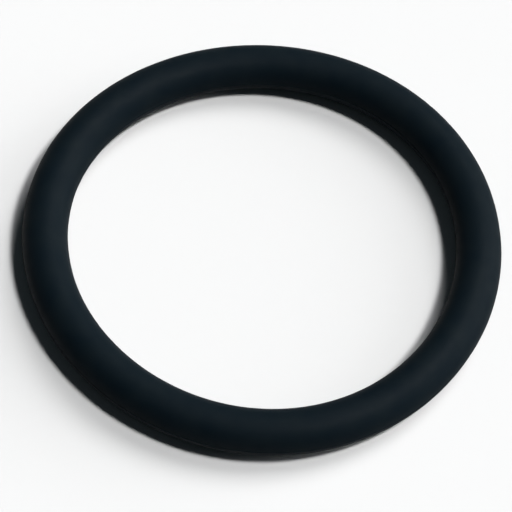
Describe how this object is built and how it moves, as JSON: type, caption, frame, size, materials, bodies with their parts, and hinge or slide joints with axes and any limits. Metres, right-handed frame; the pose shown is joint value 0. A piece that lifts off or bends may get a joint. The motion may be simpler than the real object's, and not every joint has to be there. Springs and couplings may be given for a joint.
{
  "type": "rubber o-ring",
  "caption": "Black rubber o-ring of round section that lies flat and seals the gap between a shaft and the bore around it.",
  "frame": {"origin": "centre of the ring, on its axis and half-way up its section", "axes": "+Z along the ring's axis, square to the plane it lies in; X and Y lie in that plane and may point any way round it"},
  "size_m": [0.0532, 0.0532, 0.005],
  "materials": {
    "black_rubber": "moulded black rubber with a faint blue cast and a dull satin skin"
  },
  "bodies": {
    "root": {"o_ring": "black_rubber"}
  },
  "joints": []
}
